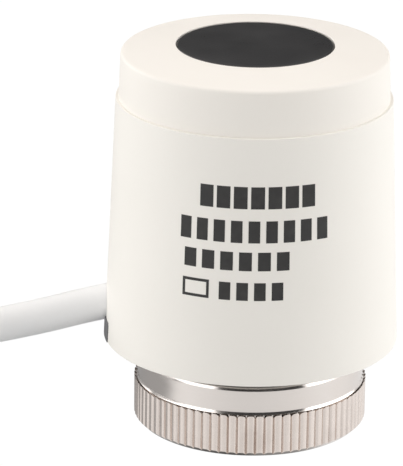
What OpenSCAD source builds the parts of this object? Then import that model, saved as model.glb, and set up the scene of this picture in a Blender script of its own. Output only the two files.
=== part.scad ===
// Thermo-electric valve actuator head: a wax cell lifts a spring-loaded plunger off a valve's pin.
// Millimetres, +Z up along the stroke. The origin is on the stroke's axis, in the plane of the
// union nut's open end, which the head stands on. Everything is drawn closed: cold, plunger down.

/* [Casing] */
// Outer radius of the casing at its lower edge
casing_r = 22; // [21.9:0.05:22.1]
// Outer radius of the casing at the step under the cap
casing_top_r = 20.5; // [20.45:0.05:20.6]
// Height of the casing's lower edge
casing_z = 13.05; // [13:0.05:13.15]
// Height of the step under the cap
step_z = 50.4; // [50.3:0.05:50.6]
// Thickness of the casing's wall
wall = 1.8; // [1.75:0.05:1.8]

/* [Cap and indicator] */
// Outer radius of the cap at the step
cap_r = 20.05; // [19.9:0.05:20.2]
// Outer radius of the cap at its rim
rim_r = 19.8; // [19.7:0.05:19.85]
// Height of the cap's rim
rim_z = 57.3; // [57.2:0.05:57.4]
// Height of the cap around the indicator
top_z = 58.4; // [58.3:0.05:58.6]
// Radius of the indicator disc
disc_r = 11.54; // [11.4:0.02:11.6]
// Gap between the indicator and the cap
disc_gap = 0.26; // [0.2:0.02:0.3]

/* [Union nut] */
// Outer radius over the knurls
nut_r = 17.5; // [17.4:0.05:17.6]
// Radius of the smooth collar
collar_r = 17; // [16.9:0.05:17]
// Height of the nut
nut_h = 11; // [10.9:0.05:11]
// Number of knurls
knurls = 80; // [60:4:96]
// Inner radius of the M30 x 1.5 thread
thread_r = 14.19; // [14.15:0.01:14.25]

/* [Valve side] */
// Height of the face that seats on the valve
seat_z = 7.3; // [7.25:0.05:7.35]
// Depth from that face to the pressure foot, with the valve closed
closing_depth = 11.8; // [11.6:0.05:11.9]
// Radius of the hollow round the valve's neck
hollow_r = 10.2; // [10:0.1:10.3]
// Outer radius of the spigot that the nut turns on
spigot_r = 12.5; // [12.4:0.05:12.5]
// Lift of the plunger
stroke = 4; // [3.5:0.1:4]

/* [Wax cell] */
// Outer radius of the brass cup
cup_r = 6.2; // [6:0.1:6.4]
// Radius of the heater disc
heater_r = 5.5; // [5:0.1:5.8]
// Radius of the piston
piston_r = 1.5; // [1.3:0.1:1.7]

/* [Main spring] */
// Diameter of the spring's wire
spring_wire = 2.2; // [2:0.1:2.2]
// Radius of the spring to the middle of its wire
spring_r = 13.1; // [13.05:0.05:13.15]
// Number of turns, with the closed ends
spring_turns = 4.75; // [4.25:0.25:4.75]

/* [Cord] */
// Diameter of the cord's sheath
cord_d = 5.3; // [5.1:0.1:5.3]
// Radius of the coil to the middle of its turns
coil_r = 28; // [27:0.5:28]
// Number of turns in the coil
coil_turns = 4.84; // [4.7:0.02:4.84]

/* [Hidden] */
$fn = 120;
fit = 0.05;
o_section = 0.52;

// The cord's route from its clamp, through the casing and down to the coil
cord_route = [
    [-15.2, 0, 19.4], [-18.6, 0, 18.6], [-22, 0, 17.8], [-26, 0, 16.8], [-30, 0, 15.7],
    [-34, 0, 14.7], [-38, 0, 13.8], [-45, 1, 12], [-51.6, 4.2, 10], [-57, 9.3, 7.9],
    [-62.4, 14.4, 5.9], [-68.8, 17.6, 4.1], [-76, 18.7, 3.2], [-82, 18.7, 3.05], [-88, 18.65, 3.05]
];
cord_exit = cord_route[2];
exit_tilt = atan2(cord_route[0][2] - cord_exit[2], cord_route[0][0] - cord_exit[0]);
coil_x = -88;
coil_y = cord_route[14][1] - coil_r - cord_d / 2;
coil_lift = 0.4;
core_r = 1.1;
core_turn = 0.2;
ferrule_h = 8;
tie_t = 0.35;

// Wires inside the head, from the cord's clamp up to the blades; the second is the mirror image
wire_r = 1;
wire_route = [
    [-15.1, 1.1, 19.4], [-14.1, 1.7, 19.8], [-13.6, 4.2, 21], [-13.9, 6.4, 22.8], [-14.8, 7.5, 25.2],
    [-15.4, 7.6, 29], [-15.4, 7.6, 36], [-15.4, 7.6, 43], [-14.9, 7.3, 46.8], [-12.5, 5.6, 49],
    [-10, 3.8, 49.4], [-8.4, 2.4, 48.2], [-8.2, 2.2, 46.2]
];

// Slot for the gland in the casing's wall, with a narrower notch above it for the cord
slot_half = 5;
slot_top = 16.2;
notch_half = 2.8;

// Union nut
knurl_z = 6.54;
knurl_depth = 0.45;
knurl_undercut = 1.35;
groove_r = 16.8;
neck_z = 6.98;
neck_r = 17.2;
lip_z = 9.4;
relief_r = 15.2;
relief_z = 7.2;
ring_t = 1.05;

// Base plate
plate_z = casing_z + 0.3;
plate_t = 1.5;
plate_top = plate_z + plate_t;
plate_r = 19.9;
boss_r = 14.6;
hub_r = 11.9;
hub_top = 26.5;
foot_z = seat_z + closing_depth;
guide_r = 8;
guide_z = foot_z - 0.9;
screw_at = [13.6, 10.6];
screw_r = 1.1;
screw_tip = 18.5;
post_at = 16.1;
post_r = 1.2;
post_foot = plate_top - 0.9;
clamp_x = -16.8;
clamp_y = 4.5;
clamp_z = 20.9;
clamp_t = 2.2;
pillar_r = 1.6;
clamp_screw_r = 0.9;

// Carriage and frame
foot_t = 1.2;
foot_r = 6.5;
stem_r = 2;
shaft_r = guide_r - fit;
flange_z = hub_top + 0.5;
flange_t = 2;
flange_r = 14.5;
leg_at = 9.9;
leg_t = 2;
leg_w = 6;
table_z = flange_z + flange_t + stroke + 0.7;
table_t = 1.6;
bridge_z = 50.2;
bridge_t = 1.6;
spring_z = flange_z + flange_t;
spring_top = 45.6;
spring_plate_t = 1.4;
frame_top = spring_top + spring_plate_t;

// Wax cell, from the table up
insulator_t = 0.6;
contact_t = 0.3;
heater_t = 2;
lower_z = table_z + table_t + insulator_t;
heater_z = lower_z + contact_t;
upper_z = heater_z + heater_t;
cup_z = upper_z + contact_t;
cup_floor = 0.9;
cup_wall = 1.2;
wax_z = cup_z + cup_floor;
wax_h = 4;
seal_h = 1.2;
guide_h = 2;
neck_h = 2.3;
bore_r = cup_r - cup_wall;
blade_x = -8.2;
blade_y = 2.2;
blade_top = 44.5;

off_white = [0.96, 0.94, 0.9];
charcoal = [0.2, 0.2, 0.21];
steel = [0.75, 0.75, 0.77];
brass = [0.8, 0.65, 0.35];

// A tube swept along points, with rings that turn as little as they can from one to the next

function unit(v) = v / norm(v);
function square_to(v, t) = unit(v - (v * t) * t);
function tangents(p) = [
    for (i = [0:len(p) - 1]) unit(p[min(i + 1, len(p) - 1)] - p[max(i - 1, 0)])
];
function ring_normals(t, i, n) =
    i == len(t) ? [] : let (m = square_to(n, t[i])) concat([m], ring_normals(t, i + 1, m));

module tube(p, r, sides, first) {
    t = tangents(p);
    n = ring_normals(t, 0, first);
    last = (len(p) - 1) * sides;
    points = [
        for (i = [0:len(p) - 1], k = [0:sides - 1])
            let (a = 360 * k / sides) p[i] + r * (cos(a) * n[i] + sin(a) * cross(t[i], n[i]))
    ];
    walls = [
        for (i = [0:len(p) - 2], k = [0:sides - 1])
            let (a = i * sides + k, b = i * sides + (k + 1) % sides)
                each [[a, b + sides, b], [a, a + sides, b + sides]]
    ];
    first_end = [for (k = [0:sides - 1]) k];
    last_end = [for (k = [sides - 1:-1:0]) last + k];
    polyhedron(points, concat(walls, [first_end, last_end]));
}

// Points between p[i] and p[i + 1] on a smooth curve through all of them
function curve_point(p, i, s) =
    let (a = p[max(i - 1, 0)], b = p[i], c = p[i + 1], d = p[min(i + 2, len(p) - 1)])
        (2 * b + (c - a) * s + (2 * a - 5 * b + 4 * c - d) * s * s
         + (3 * b - a - 3 * c + d) * s * s * s) / 2;
function smooth(p, steps) = [
    for (i = [0:len(p) - 2], k = [0:steps - 1]) curve_point(p, i, k / steps),
    p[len(p) - 1]
];

// Shared shapes

module rod(x, y, z, r, h) {
    translate([x, y, z]) cylinder(h = h, r = r);
}

module disc(z, r, h) {
    rod(0, 0, z, r, h);
}

module washer(z, r, bore, h) {
    difference() {
        disc(z, r, h);
        disc(z - 1, bore, h + 2);
    }
}

module o_ring(z, r) {
    translate([0, 0, z]) rotate_extrude() translate([r, 0]) circle(r = o_section, $fn = 48);
}

module at_screws() {
    for (x = [-1, 1], y = [-1, 1]) translate([x * screw_at[0], y * screw_at[1], 0]) children();
}

module at_posts() {
    for (a = [0, 120, 240]) rotate(a) translate([post_at, 0, 0]) children();
}

module at_clamp_screws() {
    for (side = [-1, 1]) translate([clamp_x, side * clamp_y, 0]) children();
}

// A straight hole along the stretch of cord that the clamp and the gland hold
module cord_bore(r) {
    translate(cord_exit) rotate([0, 90 - exit_tilt, 0]) translate([0, 0, -8]) cylinder(h = 22, r = r);
}

// The casing's wall as a bare cone; less takes that much off its outside, more adds it inside
module cone_wall(less, more) {
    rotate_extrude() polygon([
        [casing_r - wall - more, casing_z],
        [casing_r - less, casing_z],
        [casing_top_r - less, step_z],
        [casing_top_r - wall - more, step_z]
    ]);
}

module slot_block(gap) {
    translate([-24, gap - slot_half, casing_z - 1])
        cube([7, 2 * (slot_half - gap), slot_top - gap - casing_z + 1]);
}

// Shells

module casing() {
    color(off_white) difference() {
        union() {
            cone_wall(0, 0);
            at_screws() rod(0, 0, plate_top, 3, screw_tip - plate_top + 1);
        }
        slot_block(0);
        cord_bore(notch_half);
        translate([-24, -notch_half, slot_top - 1]) cube([7, 2 * notch_half, cord_exit[2] - slot_top + 1]);
        at_screws() rod(0, 0, plate_top - 1, screw_r, screw_tip - plate_top + 1);
    }
}

module top_cap() {
    hole_r = disc_r + disc_gap;
    edge = 0.55;
    roof = 1.7;
    collar = 1.4;
    color(off_white) rotate_extrude() {
        polygon([
            [17.4, step_z - 1.8],
            [18.6, step_z - 1.8],
            [18.6, step_z],
            [cap_r, step_z],
            [rim_r, rim_z - edge],
            [rim_r - edge, rim_z],
            [hole_r, top_z],
            [hole_r, top_z - 5.2],
            [hole_r + collar, top_z - 5.2],
            [hole_r + collar, top_z - roof - 0.1],
            [17.6, rim_z - roof + 0.2],
            [17.4, rim_z - roof - 1]
        ]);
        translate([rim_r - edge, rim_z - edge]) circle(r = edge, $fn = 48);
    }
}

module indicator_disc() {
    skirt_r = 10.2;
    groove_z = 54.6;
    edge = 0.5;
    color(charcoal) rotate_extrude() {
        polygon([
            [0, bridge_z + 0.8],
            [1.2, bridge_z + 0.8],
            [1.2, bridge_z + bridge_t],
            [3, bridge_z + bridge_t],
            [3, top_z - 1.6],
            [skirt_r, top_z - 1.6],
            [skirt_r, top_z - 5.4],
            [disc_r, top_z - 5.4],
            [disc_r, groove_z],
            [disc_r - 0.9, groove_z],
            [disc_r - 0.9, groove_z + 1.2],
            [disc_r, groove_z + 1.2],
            [disc_r, top_z - 0.04 - edge],
            [disc_r - edge, top_z - 0.04],
            [0, top_z - 0.04]
        ]);
        translate([disc_r - edge, top_z - 0.04 - edge]) circle(r = edge, $fn = 48);
    }
}

module indicator_seal() {
    color("dimgray") o_ring(55.2, 11.2);
}

// Base and nut

module base_plate() {
    color(charcoal) difference() {
        union() {
            rotate_extrude() polygon([
                [hollow_r, seat_z],
                [spigot_r, seat_z],
                [spigot_r, lip_z - ring_t - 0.15],
                [spigot_r - 0.8, lip_z - ring_t - 0.15],
                [spigot_r - 0.8, lip_z - 0.05],
                [spigot_r, lip_z - 0.05],
                [spigot_r, nut_h + 0.3],
                [boss_r, nut_h + 0.3],
                [boss_r, plate_z],
                [plate_r, plate_z],
                [plate_r, plate_z + 0.2],
                [plate_r - 0.9, plate_z + 0.2],
                [plate_r - 0.9, plate_top - 0.2],
                [plate_r, plate_top - 0.2],
                [plate_r, plate_top],
                [hub_r, plate_top],
                [hub_r, hub_top],
                [guide_r, hub_top],
                [guide_r, guide_z],
                [hollow_r, guide_z]
            ]);
            at_clamp_screws() rod(0, 0, plate_top - 0.5, pillar_r, clamp_z - plate_top + 0.5);
            translate([clamp_x - 1.4, -3, plate_top - 0.5]) cube([2.8, 6, 3]);
        }
        cord_bore(cord_d / 2 + fit);
        at_clamp_screws() rod(0, 0, clamp_z - 4, clamp_screw_r, 5);
        at_posts() rod(0, 0, post_foot, post_r, 5);
        at_screws() screw_hole();
    }
}

module screw_hole() {
    rod(0, 0, plate_z - 1, screw_r + fit, plate_t + 2);
    translate([0, 0, plate_z - 0.01]) cylinder(h = 0.91, r1 = 2.2, r2 = screw_r + fit);
}

module base_seal() {
    color("dimgray") o_ring(plate_z + plate_t / 2, plate_r - 0.9 + o_section);
}

module base_screws() {
    color(steel) at_screws() {
        rod(0, 0, plate_z + 0.5, screw_r, screw_tip - plate_z - 0.5);
        difference() {
            translate([0, 0, plate_z]) cylinder(h = 0.85, r1 = 2.1, r2 = screw_r);
            translate([-0.3, -1.5, plate_z - 1]) cube([0.6, 3, 1.3]);
            translate([-1.5, -0.3, plate_z - 1]) cube([3, 0.6, 1.3]);
        }
    }
}

module union_nut() {
    pocket_z = knurl_z - knurl_undercut * (nut_r - groove_r);
    color(steel) difference() {
        union() {
            intersection() {
                linear_extrude(knurl_z + 1) polygon([
                    for (i = [0:2 * knurls - 1])
                        let (a = 180 * i / knurls, r = nut_r - (i % 2) * knurl_depth)
                            [r * cos(a), r * sin(a)]
                ]);
                rotate_extrude() polygon([
                    [0, 0],
                    [nut_r - 0.7, 0],
                    [nut_r + 0.1, 0.8],
                    [nut_r + 0.1, knurl_z + 0.1 * knurl_undercut],
                    [groove_r - 1, pocket_z - knurl_undercut],
                    [0, pocket_z - knurl_undercut]
                ]);
            }
            rotate_extrude() polygon([
                [0, pocket_z - 2],
                [groove_r, pocket_z - 2],
                [groove_r, neck_z - 0.5],
                [neck_r, neck_z - 0.4],
                [collar_r, neck_z],
                [collar_r, nut_h - 0.73],
                [collar_r - 0.25, nut_h],
                [0, nut_h]
            ]);
        }
        disc(-1, thread_r, nut_h);
        translate([0, 0, -0.01]) cylinder(h = 0.81, r1 = thread_r + 0.81, r2 = thread_r);
        disc(relief_z, relief_r, lip_z - relief_z);
        disc(lip_z - 1, spigot_r + fit, nut_h);
    }
}

module snap_ring() {
    color(steel) rotate(200) translate([0, 0, lip_z - ring_t - 0.1])
        rotate_extrude(angle = 325) translate([spigot_r - 0.78, 0]) square([2.15, ring_t]);
}

// Fixed frame inside the casing

module frame_posts() {
    color(steel) at_posts() {
        rod(0, 0, post_foot, post_r, frame_top - post_foot);
        rod(0, 0, frame_top, 2, 1.1);
    }
}

module spring_plate() {
    color(steel) difference() {
        washer(spring_top, 18.2, 11.8, spring_plate_t);
        at_posts() rod(0, 0, spring_top - 1, post_r + fit, 5);
        for (side = [-1, 1])
            rod(wire_route[6][0], side * wire_route[6][1], spring_top - 1, wire_r + 1.1, 5);
    }
}

module heater_seat() {
    color("peru") {
        intersection() {
            disc(table_z, 11, table_t);
            translate([-15, -8.5, table_z - 1]) cube([30, 17, 5]);
        }
        for (side = [-1, 1])
            translate([side * leg_at - leg_t / 2, -leg_w / 2, hub_top])
                cube([leg_t, leg_w, table_z - hub_top]);
    }
}

// Wax cell

module insulator_disc() {
    color("white") disc(table_z + table_t, 7.5, insulator_t);
}

// A round plate with an arm on one side, bent up into a flat blade
module contact(z, side) {
    disc(z, 6, contact_t);
    translate([blade_x - 0.2, side * blade_y - 1, z]) cube([4.2, 2, contact_t]);
    translate([blade_x - 0.2, side * blade_y - 1, z]) cube([0.4, 2, blade_top - z]);
}

module contact_lower() {
    color(brass) contact(lower_z, -1);
}

module heater_disc() {
    color("gray") disc(heater_z, heater_r, heater_t);
}

module contact_upper() {
    color(brass) contact(upper_z, 1);
}

module wax_cup() {
    rim_top = wax_z + wax_h + seal_h + guide_h + 0.4;
    color(brass) rotate_extrude() polygon([
        [0, cup_z],
        [cup_r, cup_z],
        [cup_r, rim_top - 0.3],
        [cup_r - 0.3, rim_top],
        [bore_r - 0.8, rim_top],
        [bore_r - 0.8, rim_top - 0.4],
        [bore_r, rim_top - 0.4],
        [bore_r, wax_z],
        [0, wax_z]
    ]);
}

module wax_charge() {
    color("khaki") disc(wax_z, bore_r, wax_h);
}

module wax_seal() {
    color("black") washer(wax_z + wax_h, bore_r, piston_r + fit, seal_h);
}

module wax_guide() {
    base = wax_z + wax_h + seal_h;
    color(brass) difference() {
        union() {
            disc(base, bore_r, guide_h);
            disc(base, 3.4, guide_h + neck_h);
        }
        disc(base - 1, piston_r + fit, 10);
    }
}

module wax_piston() {
    start = wax_z + wax_h + 0.2;
    color(steel) disc(start, piston_r, bridge_z - start);
}

// Carriage

module carriage() {
    groove_z = foot_z + foot_t + 1.3;
    color("tan") difference() {
        union() {
            rotate_extrude() polygon([
                [0, foot_z + foot_t],
                [shaft_r, foot_z + foot_t],
                [shaft_r, groove_z],
                [shaft_r - 2 * o_section, groove_z],
                [shaft_r - 2 * o_section, groove_z + 1.4],
                [shaft_r, groove_z + 1.4],
                [shaft_r, flange_z],
                [flange_r, flange_z],
                [flange_r, spring_z],
                [0, spring_z]
            ]);
            for (side = [-1, 1]) {
                translate([-leg_w / 2, side * leg_at - leg_t / 2, spring_z - 1])
                    cube([leg_w, leg_t, bridge_z - spring_z + 1]);
                translate([-1.7, side * leg_at - 0.6, bridge_z - 1]) cube([3.4, 1.2, bridge_t + 1]);
            }
        }
        disc(foot_z, stem_r, foot_t + 4.2);
        for (side = [-1, 1])
            translate([side * leg_at - leg_t / 2 - 0.4, -leg_w / 2 - 0.4, flange_z - 1])
                cube([leg_t + 0.8, leg_w + 0.8, flange_t + 2]);
    }
}

module plunger_seal() {
    color("dimgray") o_ring(foot_z + foot_t + 2, shaft_r - o_section);
}

module pressure_foot() {
    color(steel) {
        disc(foot_z, foot_r, foot_t);
        disc(foot_z, stem_r, foot_t + 4);
    }
}

module lift_bridge() {
    color(steel) difference() {
        translate([-3.5, -10.9, bridge_z]) cube([7, 21.8, bridge_t]);
        for (side = [-1, 1])
            translate([-1.75, side * leg_at - 0.65, bridge_z - 1]) cube([3.5, 1.3, bridge_t + 2]);
        disc(bridge_z + 0.75, 1.2 + fit, 2);
    }
}

// The wire's turns lie against each other at both ends and are spread evenly between them
function spring_rise(turn) =
    let (
        closed = 0.75,
        tight = spring_wire * 1.05,
        height = spring_top - spring_z - spring_wire,
        open_pitch = (height - 2 * closed * tight) / (spring_turns - 2 * closed)
    )
        tight * (min(turn, closed) + max(turn - spring_turns + closed, 0))
        + open_pitch * min(max(turn - closed, 0), spring_turns - 2 * closed);

module main_spring() {
    steps = 20;
    color(steel) tube([
        for (i = [0:spring_turns * steps])
            let (turn = i / steps) [
                spring_r * cos(360 * turn),
                spring_r * sin(360 * turn),
                spring_z + spring_wire / 2 + spring_rise(turn)
            ]
    ], spring_wire / 2, 8, [0, 0, 1]);
}

// Cord entry

module cable_gland() {
    color("gray") difference() {
        union() {
            intersection() {
                cone_wall(-0.12, 0.1);
                slot_block(fit);
            }
            intersection() {
                cone_wall(wall + fit, 0.8);
                translate([-24, -5.4, 15.1]) cube([6, 10.8, 7.2]);
            }
        }
        cord_bore(cord_d / 2 + fit);
    }
}

module cord_clamp() {
    color("dimgray") difference() {
        translate([clamp_x - 1.4, -6.3, clamp_z]) cube([2.8, 12.6, clamp_t]);
        cord_bore(cord_d / 2 + fit);
        at_clamp_screws() rod(0, 0, clamp_z - 1, clamp_screw_r, 5);
    }
}

module clamp_screws() {
    color(steel) at_clamp_screws() {
        rod(0, 0, clamp_z - 3.8, clamp_screw_r, clamp_t + 4);
        difference() {
            rod(0, 0, clamp_z + clamp_t, 1.6, 1.2);
            translate([-0.25, -2, clamp_z + clamp_t + 0.7]) cube([0.5, 4, 1]);
        }
    }
}

module inner_wire(side) {
    tube([for (p = smooth(wire_route, 2)) [p[0], side * p[1], p[2]]], wire_r, 8, [0, 0, 1]);
}

module wire_brown() {
    color("saddlebrown") inner_wire(-1);
}

module wire_blue() {
    color("royalblue") inner_wire(1);
}

module wire_terminals() {
    color(steel) for (side = [-1, 1]) difference() {
        translate([blade_x - 0.8, side * blade_y - 1.4, blade_top - 2.3]) cube([1.6, 2.8, 4]);
        translate([blade_x - 0.25, side * blade_y - 1.05, blade_top - 3]) cube([0.5, 2.1, 3.05]);
    }
}

// Cord

module power_cord() {
    color("whitesmoke") tube(cord_route, cord_d / 2, 12, [0, 0, 1]);
}

// Three layers of two turns, with the top layer's inner turn left out where the bared cores lie
module cord_coil() {
    color("whitesmoke") translate([coil_x, coil_y, 0]) difference() {
        rotate_extrude() translate([coil_r - cord_d, coil_lift]) square([2 * cord_d, 3 * cord_d]);
        rotate(90 + 360 * coil_turns) rotate_extrude(angle = 360 * (core_turn + 0.1))
            translate([coil_r - cord_d - 1, coil_lift + 2 * cord_d]) square([cord_d + 1, cord_d + 1]);
    }
}

module cord_tie() {
    width = 4;
    half = cord_d + 0.15;
    top = coil_lift + 3 * cord_d + fit;
    color("black") translate([coil_x, coil_y, 0]) rotate(90 + 360 * 0.7) translate([coil_r, 0, 0])
        difference() {
            translate([-half - tie_t, -width / 2, 0])
                cube([2 * (half + tie_t), width, top + tie_t]);
            translate([-half, -width, tie_t]) cube([2 * half, 2 * width, top - tie_t]);
        }
}

// The bared cores go on round the coil, on top of its second layer
module at_core(turn, side) {
    translate([coil_x, coil_y, coil_lift + 2 * cord_d + core_r]) rotate(90 + 360 * turn)
        translate([coil_r - cord_d / 2 + side * (core_r + fit), 0, 0]) children();
}

module bared_core(side) {
    r = coil_r - cord_d / 2 + side * (core_r + fit);
    tube([
        for (i = [0:8])
            let (a = 90 + 360 * (coil_turns + core_turn * i / 8)) [
                coil_x + r * cos(a),
                coil_y + r * sin(a),
                coil_lift + 2 * cord_d + core_r
            ]
    ], core_r, 8, [0, 0, 1]);
}

module core_brown() {
    color("saddlebrown") bared_core(-1);
}

module core_blue() {
    color("royalblue") bared_core(1);
}

module core_ferrules() {
    color(steel) for (side = [-1, 1])
        at_core(coil_turns + core_turn, side) rotate([-90, 0, 5]) {
            cylinder(h = 2, r = core_r);
            cylinder(h = ferrule_h, r = 0.75);
        }
}

casing();
top_cap();
indicator_disc();
indicator_seal();
base_plate();
base_seal();
base_screws();
union_nut();
snap_ring();
frame_posts();
spring_plate();
main_spring();
carriage();
plunger_seal();
pressure_foot();
lift_bridge();
heater_seat();
insulator_disc();
contact_lower();
heater_disc();
contact_upper();
wax_cup();
wax_charge();
wax_seal();
wax_guide();
wax_piston();
cable_gland();
cord_clamp();
clamp_screws();
wire_brown();
wire_blue();
wire_terminals();
power_cord();
cord_coil();
cord_tie();
core_brown();
core_blue();
core_ferrules();
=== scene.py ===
import math
import random

import bmesh
import bpy
import numpy as np
from mathutils import Matrix, Vector


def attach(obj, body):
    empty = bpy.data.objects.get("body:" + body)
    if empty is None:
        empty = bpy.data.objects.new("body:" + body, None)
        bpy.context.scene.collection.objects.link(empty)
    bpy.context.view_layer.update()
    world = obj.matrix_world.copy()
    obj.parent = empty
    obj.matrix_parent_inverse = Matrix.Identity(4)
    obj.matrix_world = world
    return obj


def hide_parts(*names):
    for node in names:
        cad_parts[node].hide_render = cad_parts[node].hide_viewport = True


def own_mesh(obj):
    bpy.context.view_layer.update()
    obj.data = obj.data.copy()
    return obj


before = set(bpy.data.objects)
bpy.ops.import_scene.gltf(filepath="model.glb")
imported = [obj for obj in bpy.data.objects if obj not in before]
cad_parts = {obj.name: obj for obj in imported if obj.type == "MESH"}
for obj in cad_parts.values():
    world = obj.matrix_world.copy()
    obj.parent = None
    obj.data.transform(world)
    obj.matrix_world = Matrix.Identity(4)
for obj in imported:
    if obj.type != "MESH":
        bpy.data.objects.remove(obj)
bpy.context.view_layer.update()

MM = 0.001  # metres; the sizes in this script are in millimetres unless they say otherwise
TAU = 2 * math.pi

# ---------------------------------------------------------------- camera

AIM = Vector((-7.58, 0, 28.84)) * MM
DISTANCE = 0.56  # metres
ELEVATION = math.radians(19.7)
ROLL = math.radians(0.68)
LENS, SENSOR = 289.7, 36
CLIP_START, CLIP_END = 0.05, 20  # metres


def make_camera():
    data = bpy.data.cameras.new("camera")
    data.lens, data.sensor_width = LENS, SENSOR
    data.clip_start, data.clip_end = CLIP_START, CLIP_END
    camera = bpy.data.objects.new("camera", data)
    bpy.context.scene.collection.objects.link(camera)
    back = Vector((0, -math.cos(ELEVATION), math.sin(ELEVATION)))
    right = Vector((1, 0, 0))
    up = right.cross(-back)
    x = right * math.cos(ROLL) + up * math.sin(ROLL)
    y = up * math.cos(ROLL) - right * math.sin(ROLL)
    turn = Matrix((x, y, back)).transposed().to_4x4()
    camera.matrix_world = Matrix.Translation(AIM + back * DISTANCE) @ turn
    bpy.context.scene.camera = camera


make_camera()

# ---------------------------------------------------------------- node helpers

NOISE_ROUGHNESS = 0.55


def link(tree, value, socket):
    """Joins a node's output to a socket, or sets the socket to a plain value."""
    if isinstance(value, bpy.types.NodeSocket):
        tree.links.new(value, socket)
    else:
        socket.default_value = value


def math_node(tree, kind, a, b=0.0):
    node = tree.nodes.new("ShaderNodeMath")
    node.operation = kind
    link(tree, a, node.inputs[0])
    link(tree, b, node.inputs[1])
    return node.outputs[0]


def add(tree, a, b):
    return math_node(tree, "ADD", a, b)


def times(tree, a, b):
    return math_node(tree, "MULTIPLY", a, b)


def mixed(tree, a, b, share):
    """Two values added up, with that share of the second."""
    return add(tree, times(tree, a, 1 - share), times(tree, b, share))


def highest(tree, first, *rest):
    for value in rest:
        first = math_node(tree, "MAXIMUM", first, value)
    return first


def step(tree, value, low, high, to_low=0.0, to_high=1.0):
    """A smooth change from to_low to to_high as value goes from low to high."""
    node = tree.nodes.new("ShaderNodeMapRange")
    node.interpolation_type = "SMOOTHSTEP"
    link(tree, value, node.inputs["Value"])
    for key, limit in (("From Min", low), ("From Max", high), ("To Min", to_low), ("To Max", to_high)):
        node.inputs[key].default_value = limit
    return node.outputs[0]


def noise(tree, vector, scale, detail):
    node = tree.nodes.new("ShaderNodeTexNoise")
    link(tree, vector, node.inputs["Vector"])
    node.inputs["Scale"].default_value = scale
    node.inputs["Detail"].default_value = detail
    node.inputs["Roughness"].default_value = NOISE_ROUGHNESS
    return node.outputs["Fac"]


def around(tree, vector, along, across):
    """Coordinates round the Z axis: arc angle times along, then height and radius times across."""
    parts = tree.nodes.new("ShaderNodeSeparateXYZ")
    link(tree, vector, parts.inputs[0])
    x, y, z = parts.outputs
    radius = math_node(tree, "SQRT", add(tree, times(tree, x, x), times(tree, y, y)))
    out = tree.nodes.new("ShaderNodeCombineXYZ")
    link(tree, times(tree, math_node(tree, "ARCTAN2", y, x), along), out.inputs[0])
    link(tree, times(tree, z, across), out.inputs[1])
    link(tree, times(tree, radius, across), out.inputs[2])
    return out.outputs[0]


def stretched(tree, vector, scale):
    node = tree.nodes.new("ShaderNodeMapping")
    link(tree, vector, node.inputs["Vector"])
    node.inputs["Scale"].default_value = scale
    return node.outputs[0]


# ---------------------------------------------------------------- finishes

NOISE_LOW, NOISE_HIGH = 0.3, 0.7  # nearly all of a noise lies between these
BROAD_DETAIL, FINE_DETAIL, SPOT_DETAIL = 4.0, 2.0, 5.0
FINE_SHARE, LINE_SHARE, GLOSS_SHARE = 0.3, 0.4, 0.5
SPOT_SCALE = 0.45  # of the scale of the broad patches
SPOT_LOW, SPOT_HIGH = 0.52, 0.72
IOR = 1.46
# how far the lines of a worked surface are squeezed: round Z and then up and out, or by X, Y and Z
LATHE_LINES = (3.0, 9000.0)
UPRIGHT_LINES = (160.0, 90.0)
BRUSHED_LINES = (300.0, 9000.0, 9000.0)
WAX_DEPTH = 0.5
WAX_SPREAD = (1.0, 0.7, 0.5)  # of red, green and blue light in the wax
# the finishes, by their names
LOOKS = {}


def worked_lines(tree, place, streaks):
    """The lines of a worked surface, or None: "round" from a lathe, "up" along Z, "all" if brushed."""
    if streaks == "round":
        vector = around(tree, place, *LATHE_LINES)
    elif streaks == "up":
        vector = around(tree, place, *UPRIGHT_LINES)
    elif streaks == "all":
        vector = stretched(tree, place, BRUSHED_LINES)
    else:
        return None
    return noise(tree, vector, 1.0, FINE_DETAIL)


def two_tone(tree, shade, dark, light):
    node = tree.nodes.new("ShaderNodeValToRGB")
    first, last = node.color_ramp.elements
    first.position, last.position = NOISE_LOW, NOISE_HIGH
    first.color, last.color = (*dark, 1), (*light, 1)
    link(tree, shade, node.inputs["Fac"])
    return node.outputs["Color"]


def spotted(tree, place, colour, scale, tint, share):
    """A colour with soft spots of a tint, which cover it by that share at most."""
    node = tree.nodes.new("ShaderNodeMix")
    node.data_type = "RGBA"
    spots = noise(tree, place, scale, SPOT_DETAIL)
    link(tree, step(tree, spots, SPOT_LOW, SPOT_HIGH, 0.0, share), node.inputs["Factor"])
    link(tree, colour, node.inputs["A"])
    node.inputs["B"].default_value = (*tint, 1)
    return node.outputs["Result"]


def bumps(tree, height, depth):
    node = tree.nodes.new("ShaderNodeBump")
    node.inputs["Distance"].default_value = depth * MM
    link(tree, height, node.inputs["Height"])
    return node


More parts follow.
